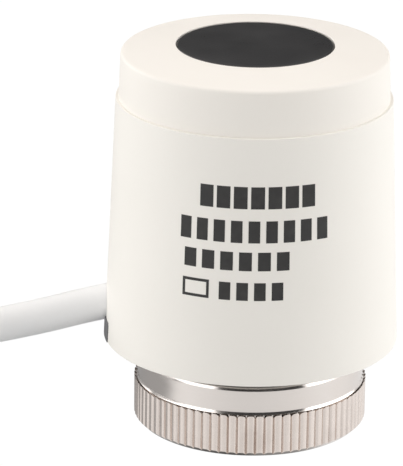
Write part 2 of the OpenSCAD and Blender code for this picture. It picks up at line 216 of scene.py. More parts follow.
def material(name, light, dark, rough, rough_spread, patch, grain, grain_depth, tint=None,
             tint_share=0.0, metallic=0.0, specular=0.5, streaks=None, streak_depth=0.0,
             subsurface=0.0):
    """A finish with two sizes of colour change, uneven gloss and a fine surface.
    The sizes of its colour change and grain are scales of noise; streaks is a kind of worked_lines."""
    finish = bpy.data.materials.new(name)
    finish.use_nodes = True
    tree = finish.node_tree
    shader = tree.nodes["Principled BSDF"]
    place = tree.nodes.new("ShaderNodeTexCoord").outputs["Object"]
    broad = noise(tree, place, patch, BROAD_DETAIL)
    fine = noise(tree, place, grain, FINE_DETAIL)
    lines = worked_lines(tree, place, streaks)
    shade = mixed(tree, broad, fine, FINE_SHARE)
    gloss = mixed(tree, broad, fine if lines is None else lines, GLOSS_SHARE)
    relief = bumps(tree, fine, grain_depth)
    if lines is not None:
        shade = mixed(tree, shade, lines, LINE_SHARE)
    if streak_depth:
        grooves = bumps(tree, lines, streak_depth)
        link(tree, relief.outputs[0], grooves.inputs["Normal"])
        relief = grooves
    colour = two_tone(tree, shade, dark, light)
    if tint:
        colour = spotted(tree, place, colour, patch * SPOT_SCALE, tint, tint_share)
    link(tree, colour, shader.inputs["Base Color"])
    link(tree, step(tree, gloss, NOISE_LOW, NOISE_HIGH, rough - rough_spread, rough + rough_spread),
         shader.inputs["Roughness"])
    link(tree, relief.outputs[0], shader.inputs["Normal"])
    shader.inputs["Metallic"].default_value = metallic
    shader.inputs["IOR"].default_value = IOR
    shader.inputs["Specular IOR Level"].default_value = specular
    if subsurface:
        shader.inputs["Subsurface Weight"].default_value = subsurface
        shader.inputs["Subsurface Radius"].default_value = WAX_SPREAD
        shader.inputs["Subsurface Scale"].default_value = WAX_DEPTH * MM
    LOOKS[name] = finish


material(
    "casing_plastic", (0.872, 0.848, 0.8), (0.852, 0.828, 0.778), 0.46, 0.05,
    patch=60, grain=2600, grain_depth=0.003, specular=0.4,
    tint=(0.83, 0.795, 0.73), tint_share=0.1)
material(
    "cap_plastic", (0.872, 0.842, 0.792), (0.855, 0.822, 0.77), 0.48, 0.05,
    patch=70, grain=2800, grain_depth=0.003, specular=0.35,
    tint=(0.84, 0.8, 0.735), tint_share=0.1)
material(
    "indicator_plastic", (0.026, 0.026, 0.027), (0.021, 0.021, 0.022), 0.33, 0.06,
    patch=160, grain=4200, grain_depth=0.005, specular=0.5)
material(
    "dark_plastic", (0.06, 0.06, 0.063), (0.042, 0.042, 0.045), 0.48, 0.1,
    patch=120, grain=3600, grain_depth=0.01, tint=(0.09, 0.088, 0.085), tint_share=0.25)
material(
    "carriage_plastic", (0.66, 0.57, 0.42), (0.58, 0.49, 0.35), 0.42, 0.08,
    patch=110, grain=3200, grain_depth=0.008, tint=(0.5, 0.42, 0.3), tint_share=0.25)
material(
    "seat_plastic", (0.5, 0.22, 0.1), (0.4, 0.17, 0.07), 0.4, 0.08,
    patch=130, grain=3000, grain_depth=0.008, tint=(0.32, 0.13, 0.06), tint_share=0.3)
material(
    "seal_rubber", (0.03, 0.03, 0.031), (0.018, 0.018, 0.019), 0.55, 0.12,
    patch=300, grain=5200, grain_depth=0.01, tint=(0.06, 0.06, 0.058), tint_share=0.3)
material(
    "gland_rubber", (0.165, 0.165, 0.172), (0.125, 0.125, 0.132), 0.58, 0.08,
    patch=200, grain=4000, grain_depth=0.012, tint=(0.21, 0.21, 0.21), tint_share=0.25)
material(
    "nut_turned", (0.74, 0.695, 0.665), (0.68, 0.632, 0.6), 0.17, 0.05, metallic=1.0,
    patch=140, grain=5200, grain_depth=0.0012, streaks="round", streak_depth=0.0016,
    tint=(0.66, 0.59, 0.54), tint_share=0.25)
material(
    "nut_knurl", (0.8, 0.725, 0.68), (0.69, 0.615, 0.57), 0.27, 0.09, metallic=1.0,
    patch=420, grain=6500, grain_depth=0.004, streaks="up", streak_depth=0.006,
    tint=(0.6, 0.53, 0.49), tint_share=0.35)
material(
    "nut_thread", (0.7, 0.66, 0.62), (0.56, 0.52, 0.48), 0.28, 0.1, metallic=1.0,
    patch=300, grain=5200, grain_depth=0.003, streaks="round", streak_depth=0.004,
    tint=(0.4, 0.36, 0.32), tint_share=0.35)
material(
    "plain_steel", (0.66, 0.66, 0.67), (0.52, 0.52, 0.53), 0.26, 0.09, metallic=1.0,
    patch=240, grain=4200, grain_depth=0.003, streaks="round", streak_depth=0.003,
    tint=(0.42, 0.41, 0.4), tint_share=0.35)
material(
    "sheet_steel", (0.64, 0.65, 0.67), (0.54, 0.55, 0.57), 0.3, 0.1, metallic=1.0,
    patch=180, grain=4200, grain_depth=0.003, streaks="all", streak_depth=0.004,
    tint=(0.46, 0.47, 0.48), tint_share=0.4)
material(
    "spring_steel", (0.48, 0.48, 0.5), (0.33, 0.33, 0.345), 0.27, 0.1, metallic=1.0,
    patch=300, grain=3600, grain_depth=0.005, tint=(0.26, 0.24, 0.22), tint_share=0.35)
material(
    "cell_brass", (0.8, 0.6, 0.27), (0.68, 0.49, 0.2), 0.22, 0.08, metallic=1.0,
    patch=200, grain=4200, grain_depth=0.003, streaks="round", streak_depth=0.003,
    tint=(0.52, 0.33, 0.15), tint_share=0.35)
material(
    "contact_brass", (0.82, 0.66, 0.38), (0.7, 0.55, 0.3), 0.28, 0.1, metallic=1.0,
    patch=260, grain=4200, grain_depth=0.003, streaks="all", streak_depth=0.004,
    tint=(0.55, 0.4, 0.22), tint_share=0.35)
material(
    "insulator_white", (0.82, 0.81, 0.77), (0.74, 0.73, 0.69), 0.62, 0.1,
    patch=260, grain=4800, grain_depth=0.012, tint=(0.66, 0.63, 0.56), tint_share=0.25)
material(
    "heater_grey", (0.3, 0.3, 0.31), (0.2, 0.2, 0.21), 0.66, 0.12,
    patch=420, grain=5200, grain_depth=0.018, tint=(0.13, 0.13, 0.14), tint_share=0.5)
material(
    "wax_amber", (0.62, 0.42, 0.16), (0.48, 0.3, 0.1), 0.36, 0.1,
    patch=220, grain=2200, grain_depth=0.02, subsurface=0.4,
    tint=(0.72, 0.55, 0.26), tint_share=0.5)
material(
    "sheath_white", (0.888, 0.891, 0.892), (0.858, 0.862, 0.864), 0.4, 0.07,
    patch=150, grain=1700, grain_depth=0.008, specular=0.4,
    tint=(0.83, 0.828, 0.82), tint_share=0.25)
material(
    "core_brown", (0.175, 0.07, 0.03), (0.135, 0.052, 0.022), 0.36, 0.07,
    patch=260, grain=3000, grain_depth=0.006, tint=(0.22, 0.1, 0.05), tint_share=0.3)
material(
    "core_blue", (0.04, 0.135, 0.42), (0.03, 0.105, 0.34), 0.36, 0.07,
    patch=260, grain=3000, grain_depth=0.006, tint=(0.06, 0.18, 0.5), tint_share=0.3)
material(
    "tie_black", (0.03, 0.03, 0.031), (0.016, 0.016, 0.017), 0.6, 0.12,
    patch=500, grain=5200, grain_depth=0.03, tint=(0.05, 0.05, 0.05), tint_share=0.3)
material(
    "print_ink", (0.048, 0.047, 0.046), (0.034, 0.033, 0.033), 0.5, 0.08,
    patch=700, grain=6500, grain_depth=0.003, specular=0.3,
    tint=(0.075, 0.073, 0.07), tint_share=0.3)

# ---------------------------------------------------------------- mesh helpers

WELD = 1e-7  # metres
CAD_WELD = 1e-6  # metres
TINY = 1e-6
NEARLY_STRAIGHT = math.radians(170)
MOST_OF_SIDE = 0.45
SHARP = 35  # degrees
BEVEL_ANGLE = math.radians(40)
BEVEL_STEPS = 3


def place_piece(name, mesh, body, looks, nodes):
    """The object of a mesh: on its body, with its finishes and the CAD nodes it stands for."""
    names = [looks] if isinstance(looks, str) else looks
    for look in names:
        mesh.materials.append(LOOKS[look])
    piece = bpy.data.objects.new(name, mesh)
    bpy.context.scene.collection.objects.link(piece)
    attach(piece, body)
    if nodes:
        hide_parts(*nodes)
    return piece


def finish_mesh(name, verts, faces, body, looks, nodes=(), sharp=SHARP, kinds=None):
    """A piece from points in millimetres: welded, with its normals outwards and its corners sharp.
    looks is one finish or a list of them, and kinds then says which of them each face has."""
    mesh = bpy.data.meshes.new(name)
    bm = bmesh.new()
    corners = [bm.verts.new([c * MM for c in v]) for v in verts]
    for i, f in enumerate(faces):
        face = bm.faces.new([corners[k] for k in f])
        face.smooth = True
        if kinds:
            face.material_index = kinds[i]
    bmesh.ops.remove_doubles(bm, verts=bm.verts, dist=WELD)
    bmesh.ops.dissolve_degenerate(bm, edges=bm.edges, dist=WELD)
    loose = [v for v in bm.verts if not v.link_faces]
    bmesh.ops.delete(bm, geom=loose, context="VERTS")
    bmesh.ops.recalc_face_normals(bm, faces=bm.faces)
    bm.to_mesh(mesh)
    bm.free()
    mesh.set_sharp_from_angle(angle=math.radians(sharp))
    return place_piece(name, mesh, body, looks, nodes)


class Shape:
    """Points and faces in millimetres, gathered from one or more closed solids."""

    def __init__(self):
        self.verts, self.faces = [], []

    def add(self, verts, faces):
        n = len(self.verts)
        self.verts += [tuple(v) for v in verts]
        self.faces += [[n + k for k in f] for f in faces]
        return self

    def build(self, name, body, look, nodes=(), sharp=SHARP):
        return finish_mesh(name, self.verts, self.faces, body, look, nodes, sharp)


def ease(t):
    """A smooth rise from 0 to 1 as t goes from 0 to 1."""
    return t * t * (3 - 2 * t)


def rounded(points, radius, steps=3):
    """A closed outline with its corners rounded; corners on the axis stay.
    A third number in a point is its own radius."""
    out = []
    n = len(points)
    for i, point in enumerate(points):
        r = point[2] if len(point) > 2 else radius
        here = np.array(point[:2], float)
        a = np.array(points[i - 1][:2], float) - here
        b = np.array(points[(i + 1) % n][:2], float) - here
        a_long, b_long = np.linalg.norm(a), np.linalg.norm(b)
        bend = math.acos(max(-1, min(1, float(a @ b) / (a_long * b_long))))
        if r <= 0 or point[0] < TINY or bend > NEARLY_STRAIGHT:
            out.append(tuple(here))
            continue
        cut = min(r / math.tan(bend / 2), MOST_OF_SIDE * a_long, MOST_OF_SIDE * b_long)
        start, end = here + a / a_long * cut, here + b / b_long * cut
        for k in range(steps + 1):
            t = k / steps
            out.append(tuple((1 - t) ** 2 * start + 2 * t * (1 - t) * here + t * t * end))
    return out


def revolve(outline, seg):
    """The solid of a closed outline of (radius, height) points turned round the Z axis."""
    verts, rings, faces = [], [], []
    for r, z in outline:
        if r < TINY:
            rings.append([len(verts)] * seg)
            verts.append((0, 0, z))
        else:
            rings.append(list(range(len(verts), len(verts) + seg)))
            verts += [(r * math.cos(TAU * k / seg), r * math.sin(TAU * k / seg), z)
                      for k in range(seg)]
    n = len(rings)
    for i in range(n):
        a, b = rings[i], rings[(i + 1) % n]
        if a[0] == a[1] and b[0] == b[1]:
            continue
        for k in range(seg):
            m = (k + 1) % seg
            face = []
            for v in (a[k], a[m], b[m], b[k]):
                if v not in face:
                    face.append(v)
            faces.append(face)
    return verts, faces


def turned(name, outline, body, look, node, edge=0.12, seg=96, steps=3):
    """A lathe-turned piece, which stands for one CAD node."""
    return Shape().add(*revolve(rounded(outline, edge, steps), seg)).build(name, body, look, (node,))


def moved(solid, matrix):
    verts, faces = solid
    return [tuple(matrix @ Vector(v)) for v in verts], faces


def carry_rings(line):
    """Two directions across a line at each of its points, turning as little as they can."""
    t = np.gradient(line, axis=0)
    t /= np.linalg.norm(t, axis=1)[:, None]
    first = np.array([0, 0, 1.0])
    n = np.zeros_like(line)
    for i in range(len(line)):
        first = first - (first @ t[i]) * t[i]
        first /= np.linalg.norm(first)
        n[i] = first
    return n, np.cross(t, n)


def sweep(line, radii, sides=16):
    """A closed round tube along a line, with one radius or a radius at each point."""
    line = np.array(line, float)
    radii = np.broadcast_to(radii, len(line))
    n, b = carry_rings(line)
    verts, faces = [], []
    for i in range(len(line)):
        for k in range(sides):
            a = TAU * k / sides
            verts.append(tuple(line[i] + radii[i] * (math.cos(a) * n[i] + math.sin(a) * b[i])))
    for i in range(len(line) - 1):
        for k in range(sides):
            m = (k + 1) % sides
            faces.append([i * sides + k, (i + 1) * sides + k, (i + 1) * sides + m, i * sides + m])
    faces.append(list(range(sides))[::-1])
    faces.append([(len(line) - 1) * sides + k for k in range(sides)])
    return verts, faces


def curve(points, steps):
    """A smooth line through points, with that many steps between each two."""
    p = np.array(points, float)
    out = []
    for i in range(len(p) - 1):
        a, b, c, d = p[max(i - 1, 0)], p[i], p[i + 1], p[min(i + 2, len(p) - 1)]
        for k in range(steps):
            t = k / steps
            out.append(0.5 * (2 * b + (c - a) * t + (2 * a - 5 * b + 4 * c - d) * t * t
                              + (3 * b - a - 3 * c + d) * t ** 3))
    out.append(p[-1])
    return np.array(out)


def soften(piece, width):
    """Rounds the sharp edges of a piece."""
    bevel = piece.modifiers.new("soften", "BEVEL")
    bevel.width = width * MM
    bevel.segments = BEVEL_STEPS
    bevel.limit_method = "ANGLE"
    bevel.angle_limit = BEVEL_ANGLE
    bevel.harden_normals = True
    bevel.miter_outer = "MITER_ARC"


# ---------------------------------------------------------------- cord

CORD_D = 5.3
CORD_ROUTE = [
    (-15.2, 0, 19.4), (-18.6, 0, 18.6), (-22, 0, 17.8), (-26, 0, 16.8), (-30, 0, 15.7),
    (-34, 0, 14.7), (-38, 0, 13.8), (-45, 1, 12), (-51.6, 4.2, 10), (-57, 9.3, 7.9),
    (-62.4, 14.4, 5.9), (-68.8, 17.6, 4.1), (-76, 18.7, 3.2), (-82, 18.7, 3.05), (-88, 18.65, 3.05),
]
ROUTE_STEPS = 7
TABLE_GAP = 0.4
COIL_AT = (-88, -12)
COIL_R = 28
COIL_TURNS = 4.84
COIL_STEPS = 96  # in a turn
COIL_START = math.radians(90)
CORE_TURN = 0.2
CORE_R, CORE_THIN, CORE_GAP = 1.1, 0.06, 0.05
CORE_INSIDE = 0.012  # of a turn, where a core starts inside the sheath
CORE_INSIDE_OFF = 1.12
CORE_STEPS, DROP_STEPS = 40, 14
LAYER = [TABLE_GAP + CORD_D / 2 + k * CORD_D for k in range(3)]
CORE_Z = TABLE_GAP + 2 * CORD_D + CORE_R
R_IN, R_OUT = COIL_R - CORD_D / 2, COIL_R + CORD_D / 2
# the turns between which the cord moves, and the radius and height that it moves to
SHIFTS = [
    (0.76, 0.99, (R_IN, LAYER[0])), (1.62, 1.84, (R_IN, LAYER[1])), (2.40, 2.62, (R_OUT, LAYER[1])),
    (3.18, 3.40, (R_OUT, LAYER[2])), (4.02, 4.24, (R_IN, LAYER[2])),
]


def on_coil(turn, radius, height):
    a = COIL_START + TAU * turn
    return (COIL_AT[0] + radius * math.cos(a), COIL_AT[1] + radius * math.sin(a), height)


def coil_point(turn):
    """The middle of the cord after that many turns, as it moves from one layer to the next."""
    at = np.array([R_OUT, LAYER[0]])
    for start, end, to in SHIFTS:
        if turn > start:
            at = at + (np.array(to) - at) * ease(min(1.0, (turn - start) / (end - start)))
    return on_coil(turn, *at)


def make_cord():
    """The sheath; its last two rings round off its cut end."""
    rim_less, rim_step, face_less, face_step = 0.18, 0.2, 0.5, 0.02
    turns = np.linspace(0, COIL_TURNS, int(COIL_TURNS * COIL_STEPS) + 1)[1:]
    line = np.vstack([curve(CORD_ROUTE, ROUTE_STEPS), [coil_point(t) for t in turns]])
    along = line[-1] - line[-2]
    along /= np.linalg.norm(along)
    line[-1] = line[-2] + along * rim_step
    line = np.vstack([line, line[-1] + along * face_step])
    radii = np.full(len(line), CORD_D / 2)
    radii[-2] -= rim_less
    radii[-1] -= face_less
    sheath = Shape().add(*sweep(line, radii, 24)).build(
        "cord_sheath", "housing", "sheath_white", ("power_cord", "cord_coil"))
    return sheath, line


def make_core(name, side):
    """A bared core, which comes out of the sheath and drops onto the layer of cord below."""
    line = [on_coil(COIL_TURNS - CORE_INSIDE, R_IN + side * CORE_INSIDE_OFF, LAYER[2])]
    for i in range(CORE_STEPS + 1):
        z = LAYER[2] + (CORE_Z - LAYER[2]) * ease(min(1.0, i / DROP_STEPS))
        line.append(on_coil(COIL_TURNS + CORE_TURN * i / CORE_STEPS, R_IN + side * (CORE_R + CORE_GAP), z))
    return Shape().add(*sweep(line, CORE_R - CORE_THIN)).build(name + "_end", "housing", name, (name,))


BITE_START, BITE_END, BITE_PITCH = 2.6, 7.1, 1.5
BITE_DEPTH, BITE_BULGE = 0.16, 0.02  # of the tube's radius
FERRULE_TILT = math.radians(5)
FERRULE = [
    (0, -0.3), (1.0, -0.3), (1.1, 0), (1.1, 1.5), (0.76, 2.1), (0.75, 7.7), (0.62, 8), (0.45, 8),
    (0.4, 7.6), (0, 7.6),
]


def bite(z):
    """How deep the crimping tool's row of shallow bites is at a height in the ferrule, from 0 to 1."""
    if z <= BITE_START or z >= BITE_END:
        return 0.0
    return 0.5 - 0.5 * math.cos(TAU * (z - BITE_START) / BITE_PITCH)


def make_ferrules():
    tips = Shape()
    end = COIL_TURNS + CORE_TURN
    aim = (Matrix.Rotation(COIL_START + TAU * end + FERRULE_TILT, 4, "Z")
           @ Matrix.Rotation(math.radians(-90), 4, "X"))
    verts, faces = revolve(rounded(FERRULE, 0.08), 24)
    verts = [(x * (1 - BITE_DEPTH * bite(z)), y * (1 + BITE_BULGE * bite(z)), z) for x, y, z in verts]
    for side in (-1, 1):
        spot = Matrix.Translation(on_coil(end, R_IN + side * (CORE_R + CORE_GAP), CORE_Z))
        tips.add(*moved((verts, faces), spot @ aim))
    return tips.build("ferrule_tips", "housing", "plain_steel", ("core_ferrules",))


TIE_TURN = 0.7
TIE_SIDE, TIE_LOW, TIE_HIGH = CORD_D + 0.3, 0.19, 16.5
TIE_CORNER, TIE_CORNER_STEPS = 2.4, 8
TIE_THICK = 0.34
# across the strap, and out from its middle in shares of its thickness
TIE_SECTION = [
    (-2, -0.5), (-1.85, -0.42), (1.85, -0.42), (2, -0.5), (2, 0.42), (1.85, 0.5), (-1.85, 0.5),
    (-2, 0.42),
]


def make_tie():
    """A flat strap that goes round the coil's cord in a closed loop."""
    loop = []
    right, bottom, top = TIE_SIDE - TIE_CORNER, TIE_LOW + TIE_CORNER, TIE_HIGH - TIE_CORNER
    for x, z, start in ((right, bottom, -90), (right, top, 0), (-right, top, 90), (-right, bottom, 180)):
        for k in range(TIE_CORNER_STEPS + 1):
            a = math.radians(start + 90 * k / TIE_CORNER_STEPS)
            loop.append((x + TIE_CORNER * math.cos(a), z + TIE_CORNER * math.sin(a)))
    n, sides = len(loop), len(TIE_SECTION)
    verts, faces = [], []
    for i, point in enumerate(loop):
        along = np.array(loop[(i + 1) % n]) - np.array(loop[i - 1])
        along = along / np.linalg.norm(along)
        out = np.array([along[1], -along[0]])
        for y, share in TIE_SECTION:
            x, z = np.array(point) + out * share * TIE_THICK
            verts.append((x, y, z))
        for k in range(sides):
            a, b = i * sides, (i + 1) % n * sides
            m = (k + 1) % sides
            faces.append([a + k, b + k, b + m, a + m])
    turn = (Matrix.Translation((*COIL_AT, 0)) @ Matrix.Rotation(COIL_START + TAU * TIE_TURN, 4, "Z")
            @ Matrix.Translation((COIL_R, 0, 0)))
    return Shape().add(*moved((verts, faces), turn)).build(
        "coil_strap", "housing", "tie_black", ("cord_tie",))


sheath, cord_line = make_cord()
cord_ends = [make_core("core_brown", -1), make_core("core_blue", 1), make_ferrules()]
strap = make_tie()

# ---------------------------------------------------------------- casing

CASING_Z, STEP_Z = 13.05, 50.4
CASING_R, CASING_TOP_R = 22.0, 20.5
WALL = 1.8
SLOPE = (CASING_R - CASING_TOP_R) / (STEP_Z - CASING_Z)
NOTCH_Z, NOTCH_R = 17.95, 2.85
SLOT_HALF, SHOULDER_Z, SHOULDER_H = 5.0, 15.75, 0.6
# angles up the round notch's side, where the wall has rows
NOTCH_ANGLES = (12, 24, 36, 48, 60, 70, 78)
AROUND_STEPS, OVER_SLOT_STEPS, ROWS_ABOVE = 236, 12, 8
CASING_EDGE = 0.28
SCREW_SPOTS = [Matrix.Translation((x, y, 0)) for x in (-13.6, 13.6) for y in (-10.6, 10.6)]
BOSS_R, BOSS_BORE_R, BOSS_LOW, BOSS_HIGH = 3, 1.15, 14.9, 19.5


def cone(z):
    """The casing's outer radius at a height."""
    return CASING_R - (z - CASING_Z) * SLOPE


def slot_half(z):
    """Half the width of the gland's slot at a height; it narrows to a round notch for the cord."""
    if z <= NOTCH_Z:
        t = min(1.0, max(0.0, (z - SHOULDER_Z) / SHOULDER_H))
        return SLOT_HALF + (NOTCH_R - SLOT_HALF) * ease(t)
    return math.sqrt(max(0.0, NOTCH_R ** 2 - (z - NOTCH_Z) ** 2))


def make_casing():
    """The tapered wall with its slot: each row is a broken ring up to the slot's crown, then a full one."""
    low = [CASING_Z, 14.0, 15.0, 15.55, *np.linspace(SHOULDER_Z, SHOULDER_Z + SHOULDER_H, 7), 16.6, 17.2,
           NOTCH_Z]
    corner = [NOTCH_Z + NOTCH_R * math.sin(math.radians(a)) for a in NOTCH_ANGLES]
    rows = low + corner + list(np.linspace(corner[-1], STEP_Z, ROWS_ABOVE + 1))[1:]
    crown, last = len(low) + len(corner) - 1, len(rows) - 1
    full = AROUND_STEPS + OVER_SLOT_STEPS
    verts, faces, index = [], [], {}
    for side, less in enumerate((0, WALL)):
        for i, z in enumerate(rows):
            r = cone(z) - less
            a = math.asin(slot_half(min(z, corner[-1])) / r)
            ring = [math.pi + a + (TAU - 2 * a) * k / AROUND_STEPS for k in range(AROUND_STEPS + 1)]
            if i >= crown:
                ring += [math.pi - a + 2 * a * k / OVER_SLOT_STEPS for k in range(1, OVER_SLOT_STEPS)]
            for k, q in enumerate(ring):
                index[side, i, k] = len(verts)
                verts.append((r * math.cos(q), r * math.sin(q), z))

    def quad(*corners):
        faces.append([index[c] for c in corners])

    for side in (0, 1):
        for i in range(last):
            for k in range(full if i >= crown else AROUND_STEPS):
                m = (k + 1) % full
                quad((side, i, k), (side, i, m), (side, i + 1, m), (side, i + 1, k))
    for k in range(full):
        m = (k + 1) % full
        quad((0, last, k), (0, last, m), (1, last, m), (1, last, k))
    for k in range(AROUND_STEPS):
        quad((0, 0, k), (0, 0, k + 1), (1, 0, k + 1), (1, 0, k))
    for i in range(crown):
        for k in (0, AROUND_STEPS):
            quad((0, i, k), (0, i + 1, k), (1, i + 1, k), (1, i, k))
    for k in range(AROUND_STEPS, full):
        m = (k + 1) % full
        quad((0, crown, k), (0, crown, m), (1, crown, m), (1, crown, k))
    casing = Shape().add(verts, faces).build("casing_shell", "housing", "casing_plastic", ("casing",))
    soften(casing, CASING_EDGE)


def make_bosses():
    bosses = Shape()
    boss = rounded([(BOSS_BORE_R, BOSS_LOW), (BOSS_R, BOSS_LOW), (BOSS_R, BOSS_HIGH),
                    (BOSS_BORE_R, BOSS_HIGH)], 0.2)
    for spot in SCREW_SPOTS:
        bosses.add(*moved(revolve(boss, 40), spot))
    bosses.build("casing_bosses", "housing", "casing_plastic")


make_casing()
make_bosses()

# ---------------------------------------------------------------- cap and indicator

CAP_OUTLINE = [
    (17.4, 48.6, 0.25), (18.6, 48.6, 0.25), (18.6, 50.36, 0.0), (20.05, 50.36, 0.0),
    (19.8, 56.75, 0.0), (19.75, 57.03, 0.0), (19.6, 57.2, 0.0), (19.38, 57.3, 0.0),
    (19.1, 57.34, 0.0), (11.69, 58.4, 0.10), (11.69, 53.2, 0.15), (13.2, 53.2, 0.2),
    (13.2, 56.4, 0.6), (17.5, 55.8, 0.8),
]
DISC_TOP = 58.36
DISC_OUTLINE = [
    (0, 51.0), (1.2, 51.0, 0.2), (1.2, 51.8, 0.05), (3, 51.8, 0.2), (3, 56.76, 0.5),
    (10.2, 56.76, 0.5), (10.2, 52.96, 0.15), (11.54, 52.96, 0.2), (11.54, 54.6, 0.05),
    (10.64, 54.6, 0.05), (10.64, 55.8, 0.05), (11.58, 55.8, 0.05), (11.58, DISC_TOP, 0.45),
    (9.4, DISC_TOP, 0), (6.2, DISC_TOP - 0.015, 0), (3.0, DISC_TOP - 0.03, 0), (0, DISC_TOP - 0.035),
]

turned("cap_lid", CAP_OUTLINE, "housing", "cap_plastic", "top_cap", seg=256, steps=4)
turned("indicator_button", DISC_OUTLINE, "plunger", "indicator_plastic", "indicator_disc",
       seg=192, steps=6)

# ---------------------------------------------------------------- union nut

NUT_H = 11.0
KNURLS, PER_KNURL = 80, 8
KNURL_R, KNURL_DEPTH, KNURL_POWER = 17.5, 0.45, 4.0
KNURL_TOP, KNURL_UNDERCUT, KNURL_MID = 6.54, 1.35, 3.3
LOW_TIP, SKEW = 0.03, 0.16  # how much the knurls differ from one another
FOOT_R, GROOVE_R, COLLAR_R = 16.6, 16.8, 17.0
ENTRY_LIP = 0.02
THREAD_R, THREAD_MAJOR, PITCH = 14.19, 15.0, 1.5
THREAD_TOP, THREAD_CHAMFER_H, MOUTH_R = 7.2, 0.8, 15.12
THREAD_CREST, THREAD_FLANK = 0.18, 0.70  # of half the pitch
BORE_STEPS, THREAD_ROWS = 160, 104
OUTER_STEPS = KNURLS * PER_KNURL
TURNED_KIND, KNURL_KIND, THREAD_KIND = 0, 1, 2
# (radius, height) from the knurls' inner edge up to the collar and in to the bore
NECK_OUTLINE = [
    (16.9, 5.73), (GROOVE_R, 5.78), (GROOVE_R, 6.42), (16.86, 6.48), (17.14, 6.53), (17.19, 6.58),
    (17.02, 6.92), (COLLAR_R, 7.02), (COLLAR_R, 8.7), (COLLAR_R, 10.2), (16.985, 10.28), (16.78, 10.9),
    (16.68, NUT_H), (13.2, NUT_H),
]
# (radius, height) down the bore, under its inner rim and down to the top of the thread
BORE_OUTLINE = [
    (12.75, NUT_H), (12.6, 10.95), (12.55, 10.8), (12.55, 9.6), (12.6, 9.45), (12.75, 9.4), (15.0, 9.4),
    (15.2, 9.2), (15.2, 7.4), (15.1, 7.22),
]
RIM_BANDS = 6  # bands of the bore that are turned; those below have the thread's finish


def knurl_radius(u, low, skew):
    """The radius over one knurl, as u goes from -0.5 to 0.5 between two grooves."""
    if abs(u) >= 0.5:
        return KNURL_R - KNURL_DEPTH
    v = u + skew * (0.25 - u * u)
    return KNURL_R - low - (KNURL_DEPTH - low) * abs(2 * v) ** KNURL_POWER


def thread_radius(angle, z):
    """The inner surface of the nut: a thread that runs out into a chamfer at the open end."""
    phase = (z / PITCH - angle / TAU) % 1.0
    cut = min(1.0, max(0.0, (abs(phase - 0.5) * 2 - THREAD_CREST) / THREAD_FLANK))
    thread = THREAD_R + (THREAD_MAJOR - THREAD_R) * cut
    chamfer = THREAD_MAJOR - z * (THREAD_MAJOR - THREAD_R) / THREAD_CHAMFER_H
    return max(thread, chamfer)


def make_nut():
    rng = random.Random(7)
    jitter = [(LOW_TIP * rng.random(), rng.uniform(-SKEW, SKEW)) for _ in range(KNURLS)]
    ratio = OUTER_STEPS // BORE_STEPS
    verts, faces, kinds = [], [], []

    def ring(count, radius, height):
        """radius may be a function of step and angle, and height a function of radius."""
        start = len(verts)
        for j in range(count):
            a = TAU * (j * (OUTER_STEPS // count) - PER_KNURL / 2) / OUTER_STEPS
            r = radius(j, a) if callable(radius) else radius
            z = height(r) if callable(height) else height
            verts.append((r * math.cos(a), r * math.sin(a), z))
        return start

    def band(a, b, count, kind):
        for j in range(count):
            m = (j + 1) % count
            faces.append([a + j, a + m, b + m, b + j])
            kinds.append(kind)

    def lace(big, small):
        """Joins a ring of the outside to a ring of the bore, which has fewer points."""
        for j in range(BORE_STEPS):
            faces.append([small + j, small + (j + 1) % BORE_STEPS]
                         + [big + (j * ratio + ratio - k) % OUTER_STEPS for k in range(ratio + 1)])
            kinds.append(TURNED_KIND)

    def knurl(j, a):
        return knurl_radius((j % PER_KNURL) / PER_KNURL - 0.5, *jitter[j // PER_KNURL])

    rows = [
        (FOOT_R, 0.0, TURNED_KIND),
        (GROOVE_R, ENTRY_LIP, TURNED_KIND),
        (knurl, lambda r: r - GROOVE_R + ENTRY_LIP, KNURL_KIND),
        (knurl, KNURL_MID, KNURL_KIND),
        (knurl, lambda r: KNURL_TOP - KNURL_UNDERCUT * (KNURL_R - r), KNURL_KIND),
        *[(r, z, TURNED_KIND) for r, z in NECK_OUTLINE],
    ]
    outer = [ring(OUTER_STEPS, radius, height) for radius, height, _ in rows]
    for a, b, (_, _, kind) in zip(outer[:-1], outer[1:], rows):
        band(a, b, OUTER_STEPS, kind)
    inner = [ring(BORE_STEPS, r, z) for r, z in BORE_OUTLINE]
    for i in range(THREAD_ROWS + 1):
        z = THREAD_TOP * (1 - i / THREAD_ROWS)
        inner.append(ring(BORE_STEPS, lambda j, a, z=z: thread_radius(a, z), z))
    inner.append(ring(BORE_STEPS, MOUTH_R, 0.0))
    for i, (a, b) in enumerate(zip(inner[:-1], inner[1:])):
        band(a, b, BORE_STEPS, THREAD_KIND if i >= RIM_BANDS else TURNED_KIND)
    lace(outer[-1], inner[0])
    lace(outer[0], inner[-1])
    finish_mesh("union_nut_metal", verts, faces, "nut", ["nut_turned", "nut_knurl", "nut_thread"],
                ("union_nut",), sharp=30, kinds=kinds)


make_nut()

# ---------------------------------------------------------------- print

INK_LIFT, INK_SINK = 0.018, 0.03
INK_STEP = 1.2  # degrees
# first and last angle from the front in degrees, lowest and highest Z, bars, and share of ink
PRINT_ROWS = [
    (-22.0, 24.5, 40.0, 43.3, 7, 0.80), (-30.0, 30.0, 34.9, 38.2, 9, 0.66),
    (-28.0, 14.0, 30.7, 33.5, 6, 0.68), (-13.5, 11.6, 26.2, 28.9, 4, 0.66),
]
FRAME_LEFT, FRAME_RIGHT, FRAME_LOW, FRAME_HIGH = -28.5, -17.5, 26.2, 29.0
FRAME_SIDE, FRAME_BAR, FRAME_GAP = 1.1, 0.42, 0.01


